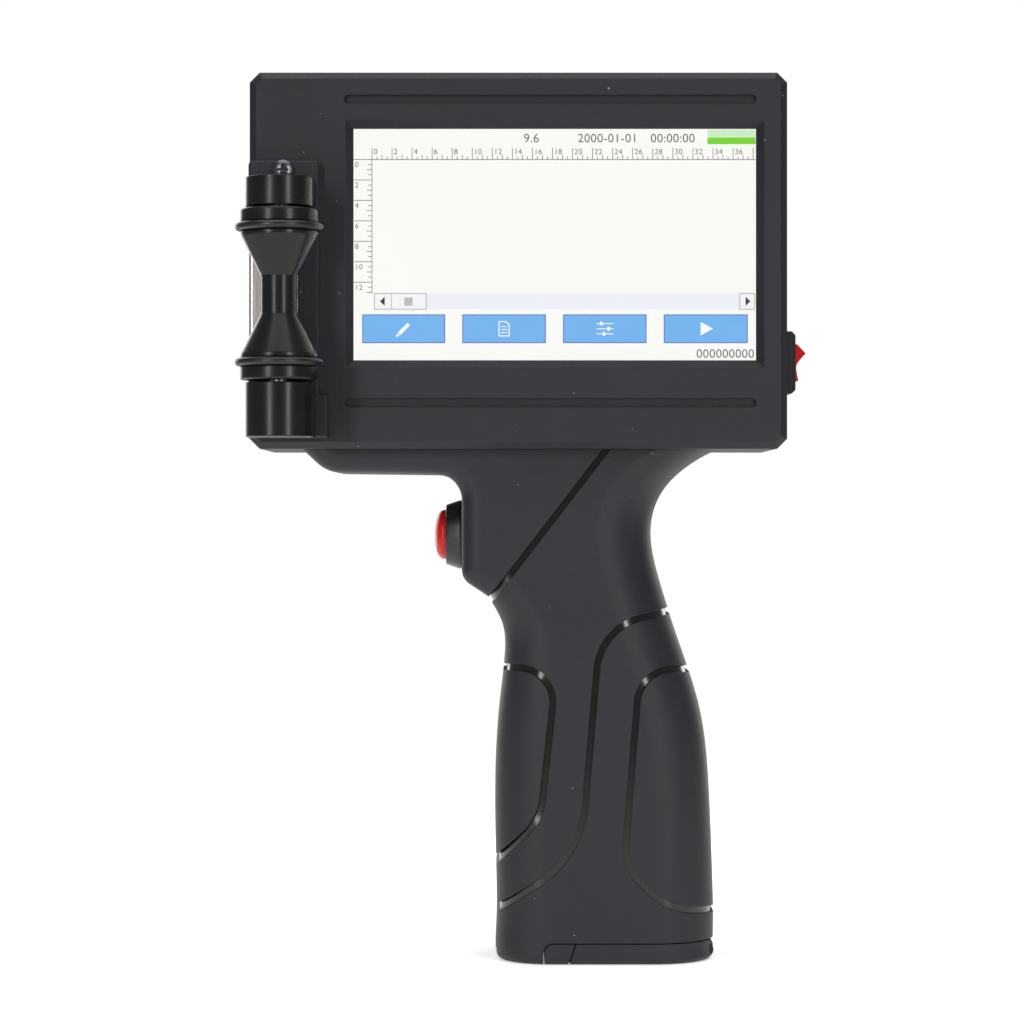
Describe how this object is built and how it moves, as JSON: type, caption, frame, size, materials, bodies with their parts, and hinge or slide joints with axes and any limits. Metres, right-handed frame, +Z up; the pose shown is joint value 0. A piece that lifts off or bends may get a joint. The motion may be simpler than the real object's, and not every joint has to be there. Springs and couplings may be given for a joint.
{
  "type": "handheld date code inkjet printer",
  "caption": "Pistol-grip inkjet coder with a touch screen box, hourglass guide roller, rocker switch, push trigger, cartridge door and battery door.",
  "frame": {"origin": "middle of the flat foot of the grip, on the surface it stands on", "axes": "+Z up the grip to the screen box, +X away from the print face, +Y away from the screen side"},
  "size_m": [0.1322, 0.0797, 0.2081],
  "materials": {
    "case_plastic": "fine spark-textured black moulding",
    "roller_plastic": "turned satin black",
    "ring_rubber": "smooth black rubber",
    "guard_steel": "brushed stainless",
    "spring_steel": "bright spring steel",
    "screw_black": "black oxide",
    "screw_steel": "zinc plated",
    "bearing_steel": "ground steel",
    "screen_glass": "clear touch glass",
    "panel_light": "lit display panel",
    "holder_plastic": "plain black moulding",
    "foam": "closed cell foam",
    "board_green": "solder resist",
    "chip_black": "chip packages",
    "plug_white": "natural nylon",
    "ribbon_amber": "flexible ribbon",
    "contact_brass": "plated brass",
    "nozzle_gold": "nozzle foil",
    "ink_body": "moulded cartridge",
    "encoder_metal": "etched disc",
    "switch_black": "smooth nylon",
    "signal_red": "smooth red moulding",
    "nut_metal": "nickel plated",
    "socket_metal": "stamped shell",
    "cell_blue": "sleeved cells",
    "wrap_film": "shrink film",
    "lead_red": "insulated leads",
    "lead_black": "insulated leads"
  },
  "bodies": {
    "housing": {"base_plate_screws": "screw_black", "battery_cells": "cell_blue", "battery_contacts": "holder_plastic", "battery_door_pin": "screw_steel", "battery_leads": "lead_red", "battery_pad": "foam", "battery_wrap": "wrap_film", "board_chips": "chip_black", "board_plugs": "plug_white", "board_screws": "screw_steel", "board_standoffs": "contact_brass", "cartridge_clip": "spring_steel", "cartridge_cradle": "holder_plastic", "cartridge_door_pin": "screw_steel", "charge_socket": "switch_black", "contact_block": "holder_plastic", "contact_pins": "contact_brass", "cover_screws": "screw_steel", "display_ribbon": "ribbon_amber", "encoder_sensor": "holder_plastic", "front_cover": "case_plastic", "grip_front_shell": "case_plastic", "grip_rear_shell": "case_plastic", "grip_screws": "screw_steel", "guard_plate": "guard_steel", "ink_cartridge": "ink_body", "lcd_holder": "holder_plastic", "lcd_panel": "panel_light", "lower_bearing": "bearing_steel", "lower_bearing_block": "roller_plastic", "main_board": "board_green", "nozzle_plate": "nozzle_gold", "rear_cover": "case_plastic", "roller_base_plate": "case_plastic", "screen_gasket": "foam", "screen_glass": "screen_glass", "socket_board": "board_green", "switch_body": "switch_black", "switch_terminals": "contact_brass", "trigger_bezel": "switch_black", "trigger_contacts": "holder_plastic", "trigger_leads": "lead_black", "trigger_nut": "nut_metal", "trigger_spring": "spring_steel", "upper_bearing": "bearing_steel", "upper_bearing_block": "roller_plastic", "usb_socket": "socket_metal"},
    "roller": {"guide_roller": "roller_plastic", "upper_o_ring": "ring_rubber", "lower_o_ring": "ring_rubber", "roller_shaft": "screw_steel", "encoder_disc": "encoder_metal"},
    "trigger": {"trigger_cap": "signal_red"},
    "rocker": {"switch_rocker": "signal_red"},
    "battery_flap": {"battery_door": "case_plastic"},
    "cartridge_flap": {"cartridge_door": "case_plastic"}
  },
  "joints": [
    {"name": "roller_spin", "type": "hinge", "parent": "housing", "child": "roller", "pos_m": [-0.07525, -0.04, 0.1554], "axis": [0, 0, 1], "continuous": true},
    {"name": "trigger_press", "type": "slide", "parent": "housing", "child": "trigger", "axis": [1, 0, 0], "range_m": [0, 0.002], "stiffness_N_per_m": 900, "springref_m": -0.0008, "deforming": ["trigger_spring"]},
    {"name": "power_rock", "type": "hinge", "parent": "housing", "child": "rocker", "pos_m": [0.0423, -0.0126, 0.141], "axis": [0, -1, 0], "range_deg": [0, 30]},
    {"name": "battery_door_swing", "type": "hinge", "parent": "housing", "child": "battery_flap", "pos_m": [0.0234, 0, 0.0024], "axis": [0, -1, 0], "range_deg": [0, 95]},
    {"name": "cartridge_door_swing", "type": "hinge", "parent": "housing", "child": "cartridge_flap", "pos_m": [0.0067, 0.028, 0.1687], "axis": [0, 0, -1], "range_deg": [0, 115]}
  ]
}
